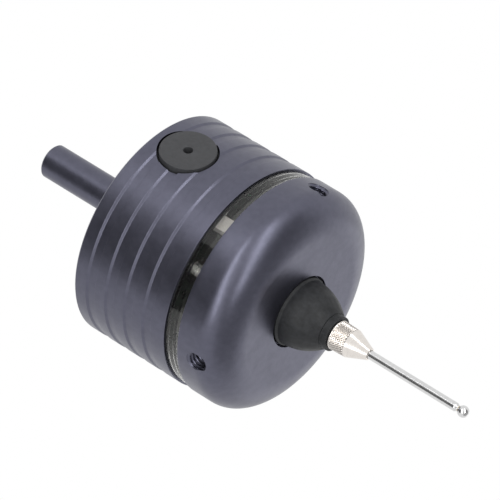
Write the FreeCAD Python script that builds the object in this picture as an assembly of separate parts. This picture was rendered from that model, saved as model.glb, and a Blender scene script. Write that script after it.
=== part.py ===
import FreeCAD, Part
import math
import os

from FreeCAD import Vector

# Battery-powered touch edge finder for a machine spindle, in millimetres.
# +Z runs along the spindle axis with the shank up and the stylus down. The origin is the
# centre of the shoulder where the shank leaves the housing, and the buzzer faces -Y.
# Angles are in degrees about +Z, counted from +X.

# Clearances
close_gap = 0.02          # radial, between pieces that locate each other
running_gap = 0.05        # radial, between pieces that slide or swivel in each other
air_gap = 0.3             # free space between neighbours that never touch
stack_gap = 0.1           # axial play of a trapped piece

# Shank, turned with a locating collar and a flange that is screwed under the roof
shank_radius = 3.0
shank_length = 23.3
shank_chamfer = 0.3
shank_collar_radius = 3.2
shank_flange_radius = 8.0
shank_flange_thickness = 2.0
shank_screw_count = 3
shank_screw_radius = 1.25
shank_screw_head_radius = 2.2
shank_screw_circle = 5.6
shank_screw_bite = 2.0
shank_screw_angle = 30.0

# Housing, a turned cup with shallow grip grooves
body_radius = 20.0
housing_length = 19.6
housing_wall = 2.5
roof_thickness = 3.0
rim_chamfer = 0.3
groove_count = 4
groove_start = 2.6
groove_pitch = 4.05
groove_width = 1.95
groove_depth = 0.25
groove_lead = 0.375       # height of the sloped upper wall of a groove

# Clear light ring between housing and cap, with a spigot on each side
ring_width = 2.8
ring_inset = 0.35         # below the surface of the housing
ring_wall = 2.65
ring_spigot_wall = 1.0
ring_spigot_length = 1.4
gasket_thickness = 0.15
gasket_play = 0.2         # between the gasket and the spigot inside it

# Cap, a thick turned cup with an elliptical front corner
cap_length = 8.9
cap_inset = 0.04          # below the surface of the housing
cap_edge = 0.15
corner_width = 6.7
corner_height = 5.0
corner_steps = 6
cap_floor_thickness = 2.0
cavity_wall = 0.5         # between the cavity and the guide screws
stem_hole_radius = 3.4
boot_seat_depth = 1.1

# Centring screws, radial through the cap, recessed below its surface
set_screw_count = 3
set_screw_angle = -61.7
set_screw_drop = 4.0      # below the rim of the cap
set_screw_radius = 2.0
set_screw_length = 6.0
set_screw_socket = 2.0    # across flats
set_screw_socket_depth = 2.0

# Swivel: the stem's spherical head in a conical seat, round a steel pivot ball
head_radius = 5.0
head_overhang = 0.7       # how far the head's sphere reaches below the cap's inner floor
head_flat = 0.4           # height of the head's flat top above the pivot
head_band = 44.0          # angle that the head's spherical band spans
seat_angle = 45.0         # where the band meets the seat's cone
pivot_ball_radius = 2.0
seat_ring_play = 1.0      # how far the centring screws can shift the seat ring
seat_bore = 5.3
seat_hole_radius = 3.1

# Spring tube on the cap's ledge, with its plunger, spring and adjusting plug
tube_wall = 1.0
tube_flange_thickness = 1.5
guide_screw_count = 3
guide_screw_angle = -1.7
guide_screw_radius = 0.8
guide_screw_bite = 3.0
guide_screw_head_radius = 1.5
guide_screw_head_height = 1.2
screwdriver_slot = 0.6
plunger_drop = 1.8        # height of the plunger's floor above the pivot
plunger_floor = 0.9
plunger_wall = 0.65
plunger_nose_radius = 1.6
lift_travel = 1.5
spring_coil_radius = 3.8
spring_wire_radius = 0.22
spring_turns = 4.5
spring_steps = 12         # straight lengths in one turn
spring_sides = 6
plug_thickness = 1.4
centring_ring_radius = 3.8
centring_ring_width = 1.2

# Stem below the head, and the collet chuck on it
stem_radius = 1.5
hub_radius = 2.2
hub_length = 3.2
hub_cone = 0.7
spigot_length = 3.0
rod_socket_depth = 2.0
collar_top_radius = 2.6
collar_foot_radius = 2.5
collar_grip_length = 3.1
collar_cone_length = 3.8
collar_nose_radius = 1.0
collar_nose_land = 1.2
collar_chamfer = 0.12
collet_top_radius = 1.45
collet_foot_radius = 0.95
collet_slot = 0.2
collet_slot_count = 3

# Stylus
rod_radius = 0.75
ball_radius = 1.0
tip_drop = 26.3           # ball centre below the foot of the hub
rod_neck_radius = 0.45
rod_neck_length = 0.7

# Rubber boot, a bell with a neck bead
boot_base_radius = 6.2
boot_edge = 0.3
boot_crown_radius = 5.2
boot_crown_height = 3.7
boot_shoulder_radius = 3.35
boot_height = 6.7
boot_neck_radius = 3.1
boot_neck_length = 1.2
boot_wall = 0.8
boot_flange_bore = 4.2
boot_steps = 5

# Electronics stack on three studs
stud_count = 3
stud_angle = -140.5
stud_inset = 2.4          # of the studs' centres from the bore of the light ring
stud_radius = 1.0
stud_bite = 3.0
stud_tail = 0.2
stud_headroom = 0.8       # between the studs and the roof
nut_width = 4.0           # across flats
nut_height = 1.6
board_inset = 0.4         # from the bore of the light ring
board_thickness = 1.2
led_count = 3
led_angle = -111.0
led_width = 2.4
led_depth = 1.6
led_height = 4.3
chip_length = 5.0
chip_width = 4.0
chip_height = 0.9
chip_circle = 11.3
resistor_count = 3
resistor_length = 2.0
resistor_width = 1.25
resistor_height = 0.5
resistor_spacing = 2.2
resistor_circle = 11.3
holder_inset = 0.6        # from the bore of the housing
holder_floor = 1.2
holder_leg_radius = 1.9
pocket_wall = 0.7
cell_count = 3
cell_angle = 60.0
cell_circle = 7.6
cell_radius = 5.8
cell_height = 5.4
cell_cap_radius = 4.2
cell_cap_height = 0.5
contact_thickness = 0.2
contact_radius = 3.2
contact_bar = 3.0
cover_thickness = 1.2
tab_width = 1.5

# Buzzer, set radially in the side of the housing
buzzer_drop = 6.6
buzzer_radius = 4.75
buzzer_headroom = 1.52    # between the rear of the buzzer and the cells' pockets
buzzer_proud = 0.1
buzzer_edge = 0.15
sound_hole_radius = 0.8
sound_hole_depth = 2.0
sleeve_wall = 0.3
sleeve_recess = 1.1
sleeve_setback = 0.4      # from the rear of the buzzer
lead_radius = 0.35
lead_spacing = 4.0
lead_bend = 0.5
lead_drop = 2.0           # leads leave the buzzer this far below its axis

# Levels along the spindle axis
roof_inside = -roof_thickness
flange_foot = roof_inside - shank_flange_thickness
ring_top = -housing_length
cap_rim = ring_top - ring_width
cap_face = cap_rim - cap_length
cap_floor = cap_face + cap_floor_thickness
register_depth = ring_spigot_length + stack_gap
ledge = cap_rim - register_depth
pivot = cap_floor + head_radius - head_overhang
set_screw_level = cap_rim - set_screw_drop
seat_top = ledge - stack_gap
plunger_foot = pivot + plunger_drop
spring_foot = plunger_foot + plunger_floor
board_foot = ring_top + nut_height
board_top = board_foot + board_thickness
stud_top = roof_inside - stud_headroom
cover_top = stud_top - stud_tail - nut_height
cover_foot = cover_top - cover_thickness
cell_top = cover_foot - contact_thickness
cell_foot = cell_top - cell_height
floor_top = cell_foot - contact_thickness
floor_foot = floor_top - holder_floor
tube_top = floor_foot - air_gap
spring_top = tube_top - plug_thickness
shoulder = cap_face - boot_height
hub_foot = shoulder - boot_neck_length
collar_top = hub_foot - stack_gap
grip_foot = collar_top - collar_grip_length
collar_foot = grip_foot - collar_cone_length
spigot_foot = hub_foot - spigot_length
tip = hub_foot - tip_drop

# Radii that follow from the wall, from the outside in
housing_bore = body_radius - housing_wall
cap_radius = body_radius - cap_inset
ring_radius = body_radius - ring_inset
ring_bore = ring_radius - ring_wall
ring_spigot_radius = ring_bore + ring_spigot_wall
register_radius = ring_spigot_radius + running_gap
gasket_bore = ring_spigot_radius + gasket_play
holder_radius = housing_bore - holder_inset
board_radius = ring_bore - board_inset
stud_circle = ring_bore - stud_inset
tube_radius = seat_bore + tube_wall
tube_flange_radius = stud_circle - stud_radius - 2 * stack_gap
guide_screw_circle = tube_flange_radius - guide_screw_head_radius
cavity_radius = guide_screw_circle - guide_screw_radius - cavity_wall
seat_ring_radius = cavity_radius - seat_ring_play

# Radii that follow from a fit
tube_bore = seat_bore
plunger_radius = tube_bore - running_gap
boot_seat_radius = boot_base_radius + air_gap
socket_radius = pivot_ball_radius + running_gap
sleeve_radius = buzzer_radius + running_gap + sleeve_wall
buzzer_hole_radius = sleeve_radius + running_gap
pocket_radius = cell_radius + stack_gap
pocket_reach = cell_circle * math.sin(math.radians(cell_angle)) + pocket_radius + pocket_wall
buzzer_face = body_radius + buzzer_proud
buzzer_rear = pocket_reach + buzzer_headroom
collar_bore = stem_radius + running_gap
rod_hole_radius = rod_radius + running_gap


def point(radius, height):
    """A point of a section in the XZ plane."""
    return Vector(radius, 0, height)


def line(start, end):
    """A straight edge of a section."""
    return Part.LineSegment(start, end).toShape()


def arc(start, middle, end):
    """A round edge of a section through three points."""
    return Part.Arc(start, middle, end).toShape()


def elliptical_corner(start, corner, end):
    """A quarter-ellipse edge that is tangent to both sides of the corner."""
    curve = Part.BezierCurve()
    curve.setPoles([start, corner, end])
    curve.setWeight(2, math.sqrt(0.5))
    return curve.toShape()


def path(points):
    """Straight edges from point to point."""
    return [line(start, end) for start, end in zip(points, points[1:])]


def stepped(edge, steps):
    """A curved edge as a few straight ones of equal length, so that it turns into cones."""
    return path(edge.discretize(steps + 1))


def spun(edges):
    """The solid that a closed chain of edges sweeps about the spindle axis."""
    return Part.Face(Part.Wire(edges)).revolve(Vector(), Vector(0, 0, 1), 360)


def turned(*points):
    """A solid turned about the spindle axis from straight lines through (radius, height)."""
    corners = [point(*p) for p in points]
    return spun(path(corners + corners[:1]))


def rod(radius, low, high, centre=(0, 0)):
    """An upright cylinder between two heights."""
    return Part.makeCylinder(radius, high - low, Vector(*centre, low))


def block(length, width, low, high, centre=(0, 0)):
    """An upright box between two heights, centred on a point of the XY plane."""
    x, y = centre
    corner = Vector(x - length / 2, y - width / 2, low)
    return Part.makeBox(length, width, high - low, corner)


def hexagon(width, low, high):
    """A hexagonal prism on the axis, given its width across flats, a flat facing +X."""
    reach = width / math.sqrt(3)
    turns = [math.radians(60 * step + 30) for step in range(7)]
    corners = [Vector(reach * math.cos(a), reach * math.sin(a), low) for a in turns]
    return Part.Face(Part.makePolygon(corners)).extrude(Vector(0, 0, high - low))


def turned_to(shape, angle):
    """The shape rotated about the spindle axis."""
    copy = shape.copy()
    copy.rotate(Vector(), Vector(0, 0, 1), angle)
    return copy


def moved(shape, x=0.0, y=0.0, z=0.0):
    """The shape shifted without turning."""
    copy = shape.copy()
    copy.translate(Vector(x, y, z))
    return copy


def around(shape, count, first_angle):
    """Copies of the shape spaced evenly round the spindle axis."""
    return [turned_to(shape, first_angle + 360 * step / count) for step in range(count)]


def laid_along_x(shape):
    """The shape with its own +Z axis laid along +X."""
    copy = shape.copy()
    copy.rotate(Vector(), Vector(0, 1, 0), 90)
    return copy


def facing_buzzer(shape):
    """The shape with its own +Z axis laid along -Y, at the height of the buzzer."""
    copy = shape.copy()
    copy.rotate(Vector(), Vector(1, 0, 0), 90)
    return moved(copy, z=-buzzer_drop)


def group(shapes):
    """Like solids that share one node."""
    return Part.makeCompound(shapes)


def shank():
    """Plain shank with its locating collar and screwed flange, all one turned piece."""
    body = turned(
        (0, shank_length),
        (shank_radius - shank_chamfer, shank_length),
        (shank_radius, shank_length - shank_chamfer),
        (shank_radius, 0),
        (shank_collar_radius, 0),
        (shank_collar_radius, roof_inside),
        (shank_flange_radius, roof_inside),
        (shank_flange_radius, flange_foot),
        (0, flange_foot),
    )
    return body.cut(around(shank_screw_shape(close_gap), shank_screw_count, shank_screw_angle))


def shank_screw_shape(gap):
    """One countersunk screw, grown by a gap when it cuts its own hole."""
    head = shank_screw_head_radius - shank_screw_radius
    screw = turned(
        (0, flange_foot),
        (shank_screw_head_radius + gap, flange_foot),
        (shank_screw_radius + gap, flange_foot + head),
        (shank_screw_radius + gap, roof_inside + shank_screw_bite),
        (0, roof_inside + shank_screw_bite),
    )
    return moved(screw, x=shank_screw_circle)


def shank_screws():
    """Countersunk screws that hold the shank's flange under the roof."""
    driver = hexagon(shank_screw_radius, flange_foot, flange_foot + shank_screw_radius)
    screw = shank_screw_shape(0).cut(moved(driver, x=shank_screw_circle))
    return group(around(screw, shank_screw_count, shank_screw_angle))


def groove(top):
    """Outline of one grip groove: sloped upper wall, flat floor, square lower wall."""
    floor_radius = body_radius - groove_depth
    return [
        (body_radius, top),
        (floor_radius, top - groove_lead),
        (floor_radius, top - groove_width),
        (body_radius, top - groove_width),
    ]


def housing():
    """Grooved cup with the shank's hole in its roof and the buzzer's in its side."""
    collar_hole = shank_collar_radius + close_gap
    grooves = []
    for step in range(groove_count):
        grooves += groove(-groove_start - step * groove_pitch)
    cup = turned(
        (collar_hole, 0),
        (body_radius - rim_chamfer, 0),
        (body_radius, -rim_chamfer),
        *grooves,
        (body_radius, ring_top),
        (register_radius, ring_top),
        (register_radius, ring_top + register_depth),
        (housing_bore, ring_top + register_depth),
        (housing_bore, roof_inside),
        (collar_hole, roof_inside),
    )
    window = rod(buzzer_hole_radius, buzzer_rear - air_gap, buzzer_face + air_gap)
    screw_holes = around(shank_screw_shape(close_gap), shank_screw_count, shank_screw_angle)
    return cup.cut([facing_buzzer(window), *screw_holes])


def ring_gasket():
    """Thin black gasket between the housing and the light ring."""
    return turned(
        (gasket_bore, ring_top),
        (ring_radius, ring_top),
        (ring_radius, ring_top - gasket_thickness),
        (gasket_bore, ring_top - gasket_thickness),
    )


def light_ring():
    """Clear ring that the lamps shine through, with a spigot up and a spigot down."""
    top = ring_top - gasket_thickness
    return turned(
        (ring_bore, ring_top + ring_spigot_length),
        (ring_spigot_radius, ring_top + ring_spigot_length),
        (ring_spigot_radius, top),
        (ring_radius, top),
        (ring_radius, cap_rim),
        (ring_spigot_radius, cap_rim),
        (ring_spigot_radius, cap_rim - ring_spigot_length),
        (ring_bore, cap_rim - ring_spigot_length),
    )


def cap():
    """Thick front cup with its cavity, boot seat, stem hole and threaded holes."""
    face_radius = cap_radius - corner_width
    corner_top = point(cap_radius, cap_face + corner_height)
    corner_foot = point(face_radius, cap_face)
    seat_floor = cap_face + boot_seat_depth
    rim = [
        point(register_radius, cap_rim),
        point(cap_radius - cap_edge, cap_rim),
        point(cap_radius, cap_rim - cap_edge),
        corner_top,
    ]
    inside = [
        corner_foot,
        point(boot_seat_radius, cap_face),
        point(boot_seat_radius, seat_floor),
        point(stem_hole_radius, seat_floor),
        point(stem_hole_radius, cap_floor),
        point(cavity_radius, cap_floor),
        point(cavity_radius, ledge),
        point(register_radius, ledge),
        rim[0],
    ]
    corner = elliptical_corner(corner_top, point(cap_radius, cap_face), corner_foot)
    cup = spun([*path(rim), *stepped(corner, corner_steps), *path(inside)])
    stud_hole = rod(stud_radius + close_gap, ledge - stud_bite, ledge, (stud_circle, 0))
    guide_hole = rod(
        guide_screw_radius + close_gap, ledge - guide_screw_bite, ledge, (guide_screw_circle, 0)
    )
    return cup.cut(
        around(set_screw_hole(), set_screw_count, set_screw_angle)
        + around(stud_hole, stud_count, stud_angle)
        + around(guide_hole, guide_screw_count, guide_screw_angle)
    )


def set_screw_hole():
    """Cutter for one radial hole, at the outer radius of its thread."""
    hole = rod(set_screw_radius, seat_ring_radius, cap_radius + air_gap)
    return moved(laid_along_x(hole), z=set_screw_level)


def set_screws():
    """Centring screws with hexagonal sockets, their tips against the seat ring."""
    outer_end = seat_ring_radius + set_screw_length
    screw = rod(set_screw_radius - running_gap, seat_ring_radius, outer_end)
    socket = hexagon(set_screw_socket, outer_end - set_screw_socket_depth, outer_end)
    laid = moved(laid_along_x(screw.cut(socket)), z=set_screw_level)
    return group(around(laid, set_screw_count, set_screw_angle))


def seat_ring():
    """Insulating ring with the conical seat for the swivel head."""
    cone_offset = math.sqrt(2) * (head_radius + running_gap)
    return turned(
        (seat_hole_radius, cap_floor),
        (seat_ring_radius, cap_floor),
        (seat_ring_radius, seat_top),
        (seat_bore, seat_top),
        (seat_bore, pivot + seat_bore - cone_offset),
        (seat_hole_radius, pivot + seat_hole_radius - cone_offset),
    )


def spring_tube():
    """Insulating tube on the ledge that traps the seat ring and guides the plunger."""
    flange_top = ledge + tube_flange_thickness
    tube = turned(
        (tube_bore, ledge),
        (tube_flange_radius, ledge),
        (tube_flange_radius, flange_top),
        (tube_radius, flange_top),
        (tube_radius, tube_top),
        (tube_bore, tube_top),
    )
    hole = rod(guide_screw_radius + close_gap, ledge, flange_top, (guide_screw_circle, 0))
    return tube.cut(around(hole, guide_screw_count, guide_screw_angle))


def guide_screws():
    """Pan-head screws that hold the spring tube's flange on the ledge."""
    seat = ledge + tube_flange_thickness
    top = seat + guide_screw_head_height
    shaft = rod(guide_screw_radius, ledge - guide_screw_bite, seat)
    head = rod(guide_screw_head_radius, seat, top)
    slot = block(
        2 * guide_screw_head_radius + 1, screwdriver_slot, top - guide_screw_head_height / 2, top + 1
    )
    screw = moved(shaft.fuse(head).cut(slot).removeSplitter(), x=guide_screw_circle)
    return group(around(screw, guide_screw_count, guide_screw_angle))


def adjusting_plug():
    """Brass plug that loads the spring from the top of its tube."""
    plug = rod(tube_bore - close_gap, spring_top, tube_top)
    slot = block(2 * tube_bore, screwdriver_slot, tube_top - plug_thickness / 2, tube_top + 1)
    return plug.cut(slot)


def contact_tab():
    """Spring-metal tab from the adjusting plug over the tube's rim to the board."""
    knee = tube_radius + air_gap
    reach = knee + contact_thickness
    top = block(reach, tab_width, tube_top, tube_top + contact_thickness, (reach / 2, 0))
    leg = block(
        contact_thickness, tab_width, board_top, tube_top, (knee + contact_thickness / 2, 0)
    )
    foot = block(
        tab_width, tab_width, board_top, board_top + contact_thickness, (reach + tab_width / 2, 0)
    )
    return turned_to(top.fuse([leg, foot]).removeSplitter(), 90)


def plunger():
    """Cup that slides in the spring tube and presses on the pivot ball."""
    rim = spring_top - lift_travel - 2 * stack_gap
    nose_foot = pivot + math.sqrt(socket_radius**2 - plunger_nose_radius**2)
    cup = turned(
        (0, nose_foot - air_gap),
        (plunger_nose_radius, nose_foot - air_gap),
        (plunger_nose_radius, plunger_foot),
        (plunger_radius, plunger_foot),
        (plunger_radius, rim),
        (plunger_radius - plunger_wall, rim),
        (plunger_radius - plunger_wall, spring_foot),
        (0, spring_foot),
    )
    return cup.cut(Part.makeSphere(socket_radius, point(0, pivot)))


def spring():
    """Compression spring between the adjusting plug and the plunger's floor."""
    low = spring_foot + spring_wire_radius + close_gap
    high = spring_top - spring_wire_radius - close_gap
    slope = (high - low) / (2 * math.pi * spring_turns)
    count = round(spring_turns * spring_steps)
    sections = []
    for step in range(count + 1):
        turn = 2 * math.pi * spring_turns * step / count
        outward = Vector(math.cos(turn), math.sin(turn), 0)
        along = Vector(-spring_coil_radius * outward.y, spring_coil_radius * outward.x, slope)
        upward = along.normalize().cross(outward)
        centre = outward * spring_coil_radius + Vector(0, 0, low + slope * turn)
        corners = []
        for side in range(spring_sides + 1):
            spin = 2 * math.pi * side / spring_sides
            offset = outward * math.cos(spin) + upward * math.sin(spin)
            corners.append(centre + offset * spring_wire_radius)
        sections.append(Part.makePolygon(corners))
    return Part.makeLoft(sections, True, True)


def centring_ring():
    """Soft rubber ring between swivel head and plunger, which rights the stylus."""
    inner = centring_ring_radius - centring_ring_width / 2
    outer = centring_ring_radius + centring_ring_width / 2
    low = pivot + head_flat + stack_gap
    high = plunger_foot - stack_gap
    return turned((inner, low), (outer, low), (outer, high), (inner, high))


def pivot_ball():
    """Steel ball that the stem and the plunger both swivel on."""
    return Part.makeSphere(pivot_ball_radius, point(0, pivot))


def head_point(angle):
    """A point of the swivel head's sphere, at an angle below the level of its centre."""
    turn = math.radians(angle)
    return point(head_radius * math.cos(turn), pivot - head_radius * math.sin(turn))


def swivel_stem():
    """Spherical head, stem, hub under the boot's neck and the collet's spigot."""
    band = [head_point(seat_angle + side * head_band / 2) for side in (-1, 0, 1)]
    socket_slope = math.sqrt(2) * socket_radius
    mouth = point(socket_slope + head_flat, pivot + head_flat)
    shoulder_edge = point(band[0].x, pivot + head_flat)
    below = [
        band[2],
        point(stem_radius, band[2].z),
        point(stem_radius, hub_foot + hub_length),
        point(hub_radius, hub_foot + hub_length - hub_cone),
        point(hub_radius, hub_foot),
        point(stem_radius, hub_foot),
        point(stem_radius, spigot_foot),
        point(rod_hole_radius, spigot_foot),
        point(rod_hole_radius, spigot_foot + rod_socket_depth),
        point(0, spigot_foot + rod_socket_depth),
        point(0, pivot - socket_slope),
        mouth,
        shoulder_edge,
        band[0],
    ]
    return spun([arc(*band), *path(below)])


def knurled_collar():
    """Chuck nut with a round grip and a tapered nose."""
    seat_top_level = spigot_foot - stack_gap
    seat_foot_level = collar_foot + collar_nose_land
    return turned(
        (collar_bore, collar_top),
        (collar_top_radius - collar_chamfer, collar_top),
        (collar_top_radius, collar_top - collar_chamfer),
        (collar_foot_radius, grip_foot),
        (collar_nose_radius, collar_foot),
        (rod_hole_radius, collar_foot),
        (rod_hole_radius, seat_foot_level),
        (collet_foot_radius + running_gap, seat_foot_level),
        (collet_top_radius + running_gap, seat_top_level),
        (collar_bore, seat_top_level),
    )


def collet():
    """Tapered collet, slotted from its foot, between the spigot and the nut's cone."""
    top = spigot_foot - stack_gap
    foot = collar_foot + collar_nose_land + running_gap
    cone = turned(
        (rod_radius + close_gap, top),
        (collet_top_radius, top),
        (collet_foot_radius, foot),
        (rod_radius + close_gap, foot),
    )
    middle = (top + foot) / 2
    slot = block(2 * collet_top_radius, collet_slot, foot, middle, (collet_top_radius, 0))
    return cone.cut(around(slot, collet_slot_count, 0))


def stylus_rod():
    """Slender rod with a tapered neck at the ball."""
    neck_foot = tip + math.sqrt(ball_radius**2 - rod_neck_radius**2)
    return turned(
        (0, spigot_foot + rod_socket_depth - stack_gap),
        (rod_radius, spigot_foot + rod_socket_depth - stack_gap),
        (rod_radius, neck_foot + rod_neck_length),
        (rod_neck_radius, neck_foot),
        (0, neck_foot),
    )


def tip_ball():
    """Measuring ball with the small flat that the rod is brazed to."""
    flat = tip + math.sqrt(ball_radius**2 - rod_neck_radius**2)
    ball = Part.makeSphere(ball_radius, point(0, tip))
    return ball.cut(rod(ball_radius, flat, flat + ball_radius))


def boot():
    """Rubber bell with a flange in the cap's face and a bead that grips the hub."""
    seat_floor = cap_face + boot_seat_depth
    edge = point(boot_base_radius - boot_edge, cap_face - boot_edge)
    crown = point(boot_crown_radius, cap_face - boot_crown_height)
    brim = point(boot_shoulder_radius, shoulder)
    neck_bore = hub_radius + running_gap
    inner_brim = point(neck_bore + running_gap, shoulder + boot_wall)
    inner_crown = point(boot_crown_radius - boot_wall, cap_face - boot_crown_height)
    inner_edge = point(boot_base_radius - boot_edge - boot_wall, cap_face - boot_edge)
    base = [
        point(boot_flange_bore, seat_floor),
        point(boot_base_radius, seat_floor),
        point(boot_base_radius, cap_face),
        edge,
    ]
    neck = [
        brim,
        point(boot_neck_radius, shoulder),
        point(boot_neck_radius, hub_foot),
        point(neck_bore, hub_foot),
        point(neck_bore, shoulder + boot_wall),
        inner_brim,
    ]
    return spun(
        [
            *path(base),
            *stepped(arc(edge, crown, brim), boot_steps),
            *path(neck),
            *path([inner_brim, inner_crown, inner_edge, point(boot_flange_bore, cap_face), base[0]]),
        ]
    )


def stud_holes(low, high):
    """Cutters for the studs through a plate between two heights."""
    hole = rod(stud_radius + close_gap, low, high, (stud_circle, 0))
    return around(hole, stud_count, stud_angle)


def tie_studs():
    """Threaded studs that carry the electronics stack above the cap's ledge."""
    stud = rod(stud_radius, ledge - stud_bite, stud_top, (stud_circle, 0))
    return group(around(stud, stud_count, stud_angle))


def tie_nuts():
    """Hexagonal nuts that clamp the stack, under the board and on the cover."""
    bore = rod(stud_radius + close_gap, board_foot - nut_height, stud_top)
    lower = hexagon(nut_width, board_foot - nut_height, board_foot).cut(bore)
    upper = hexagon(nut_width, cover_top, cover_top + nut_height).cut(bore)
    pair = group([lower, upper])
    rings = around(moved(pair, x=stud_circle), stud_count, stud_angle)
    return group([solid for ring in rings for solid in ring.Solids])


def circuit_board():
    """Round board with a hole for the spring tube."""
    board = rod(board_radius, board_foot, board_top)
    hole = rod(tube_radius + air_gap / 2, board_foot, board_top)
    return board.cut([hole, *stud_holes(board_foot, board_top)])


def leds():
    """Block lamps under the board's edge, just inside the clear ring."""
    centre = (ring_bore - air_gap - led_depth / 2, 0)
    lamp = block(led_depth, led_width, board_foot - led_height, board_foot, centre)
    return group(around(lamp, led_count, led_angle))


def control_chip():
    """Switching chip on the board."""
    return block(chip_width, chip_length, board_top, board_top + chip_height, (chip_circle, 0))


def resistors():
    """Row of chip resistors on the board, opposite the control chip."""
    middle = (resistor_count - 1) / 2
    places = [(-resistor_circle, (n - middle) * resistor_spacing) for n in range(resistor_count)]
    top = board_top + resistor_height
    return group([block(resistor_length, resistor_width, board_top, top, p) for p in places])


def cell_holder():
    """Moulded tray with a round pocket for each cell and a leg on each stud."""
    tray = rod(holder_radius, floor_foot, floor_top)
    wall = rod(pocket_radius + pocket_wall, floor_top, cover_foot, (cell_circle, 0))
    leg = rod(holder_leg_radius, board_top, floor_foot, (stud_circle, 0))
    solid = tray.fuse(
        around(wall, cell_count, cell_angle) + around(leg, stud_count, stud_angle)
    )
    pocket = rod(pocket_radius, floor_top, cover_foot, (cell_circle, 0))
    lead_slot = block(
        lead_spacing + 4 * lead_radius,
        holder_radius,
        floor_foot,
        floor_top,
        (0, -(buzzer_rear - lead_bend - 3 * lead_radius) - holder_radius / 2),
    )
    bars = contact_bars(floor_top, cover_foot)
    cuts = around(pocket, cell_count, cell_angle) + [lead_slot, bars]
    return solid.cut(cuts + stud_holes(board_top, floor_top)).removeSplitter()


def strip_between(first, second, low, high):
    """A straight bar from the centre of one cell to the centre of another."""
    span = cell_circle * math.sqrt(3)
    bar = block(span, contact_bar, low, high)
    across = (cell_place(first) + cell_place(second)) / 2
    direction = cell_place(second) - cell_place(first)
    bar.rotate(Vector(), Vector(0, 0, 1), math.degrees(math.atan2(direction.y, direction.x)))
    return moved(bar, x=across.x, y=across.y)


def cell_place(number):
    """Centre of a cell in the XY plane."""
    angle = math.radians(cell_angle + 360 * number / cell_count)
    return Vector(cell_circle * math.cos(angle), cell_circle * math.sin(angle), 0)


def pad(number, low, high):
    """A round contact pad on one cell."""
    place = cell_place(number)
    return rod(contact_radius, low, high, (place.x, place.y))


def contact_bars(low, high):
    """Gaps in the pocket walls for the bars that join neighbouring cells."""
    floor = strip_between(1, 2, low, low + contact_thickness)
    lid = strip_between(0, 1, high - contact_thickness, high)
    return group([floor, lid])


def contacts(low, first, second, single):
    """A strip joining two cells in series and a pad for the third, at one height."""
    high = low + contact_thickness
    strip = strip_between(first, second, low, high)
    joined = strip.fuse([pad(first, low, high), pad(second, low, high)]).removeSplitter()
    return group([joined, pad(single, low, high)])


def lower_contacts():
    """Contacts on the holder's floor."""
    return contacts(floor_top, 1, 2, 0)


def upper_contacts():
    """Contacts under the cover."""
    return contacts(cell_top, 0, 1, 2)


def button_cell(number):
    """One button cell, its can stepped in to the smaller cap at the foot."""
    step = cell_foot + cell_cap_height
    cell = turned(
        (0, cell_foot),
        (cell_cap_radius, cell_foot),
        (cell_cap_radius, step),
        (cell_radius, step),
        (cell_radius, cell_top),
        (0, cell_top),
    )
    place = cell_place(number)
    return moved(cell, x=place.x, y=place.y)


def cell_cover():
    """Cover over the cells, with a flat beside the buzzer."""
    disc = rod(holder_radius, cover_foot, cover_top)
    flat_at = -(buzzer_rear - 2 * air_gap)
    beside = block(
        2 * holder_radius, holder_radius, cover_foot, cover_top, (0, flat_at - holder_radius / 2)
    )
    return disc.cut([beside, *stud_holes(cover_foot, cover_top)])


def buzzer():
    """Round buzzer with a sound hole in its flat face."""
    body = turned(
        (0, buzzer_rear),
        (buzzer_radius, buzzer_rear),
        (buzzer_radius, buzzer_face - buzzer_edge),
        (buzzer_radius - buzzer_edge, buzzer_face),
        (0, buzzer_face),
    )
    hole = rod(sound_hole_radius, buzzer_face - sound_hole_depth, buzzer_face)
    return facing_buzzer(body.cut(hole))


def buzzer_sleeve():
    """Rubber sleeve that holds the buzzer in the housing's wall, set in from its surface."""
    inner_end = buzzer_rear + sleeve_setback
    outer_end = body_radius - sleeve_recess
    inner_radius = buzzer_radius + running_gap
    return facing_buzzer(
        turned(
            (inner_radius, inner_end),
            (sleeve_radius, inner_end),
            (sleeve_radius, outer_end),
            (inner_radius, outer_end),
        )
    )


def buzzer_lead(x):
    """One lead from the rear of the buzzer, turned down to the board."""
    level = -buzzer_drop - lead_drop
    run = lead_radius + lead_bend
    outward = Part.makeCylinder(lead_radius, run, Vector(x, -buzzer_rear, level), Vector(0, 1, 0))
    corner = (x, run - buzzer_rear)
    knee = Part.makeSphere(lead_radius, Vector(*corner, level))
    return outward.fuse([knee, rod(lead_radius, board_top, level, corner)])


def buzzer_leads():
    """The pair of leads from the buzzer to the board."""
    return group([buzzer_lead(side * lead_spacing / 2) for side in (-1, 1)])


pieces = {
    "shank": shank,
    "shank_screws": shank_screws,
    "housing": housing,
    "ring_gasket": ring_gasket,
    "light_ring": light_ring,
    "cap": cap,
    "set_screws": set_screws,
    "seat_ring": seat_ring,
    "spring_tube": spring_tube,
    "guide_screws": guide_screws,
    "adjusting_plug": adjusting_plug,
    "contact_tab": contact_tab,
    "spring": spring,
    "plunger": plunger,
    "centring_ring": centring_ring,
    "pivot_ball": pivot_ball,
    "swivel_stem": swivel_stem,
    "knurled_collar": knurled_collar,
    "collet": collet,
    "stylus_rod": stylus_rod,
    "tip_ball": tip_ball,
    "boot": boot,
    "tie_studs": tie_studs,
    "tie_nuts": tie_nuts,
    "circuit_board": circuit_board,
    "leds": leds,
    "control_chip": control_chip,
    "resistors": resistors,
    "cell_holder": cell_holder,
    "lower_contacts": lower_contacts,
    "upper_contacts": upper_contacts,
    "cell_cover": cell_cover,
    "buzzer": buzzer,
    "buzzer_sleeve": buzzer_sleeve,
    "buzzer_leads": buzzer_leads,
}

os.makedirs("parts", exist_ok=True)
for name, make in pieces.items():
    make().exportStep(f"parts/{name}.step")
for number in range(cell_count):
    button_cell(number).exportStep(f"parts/cell_{number + 1}.step")
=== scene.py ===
import math

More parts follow.
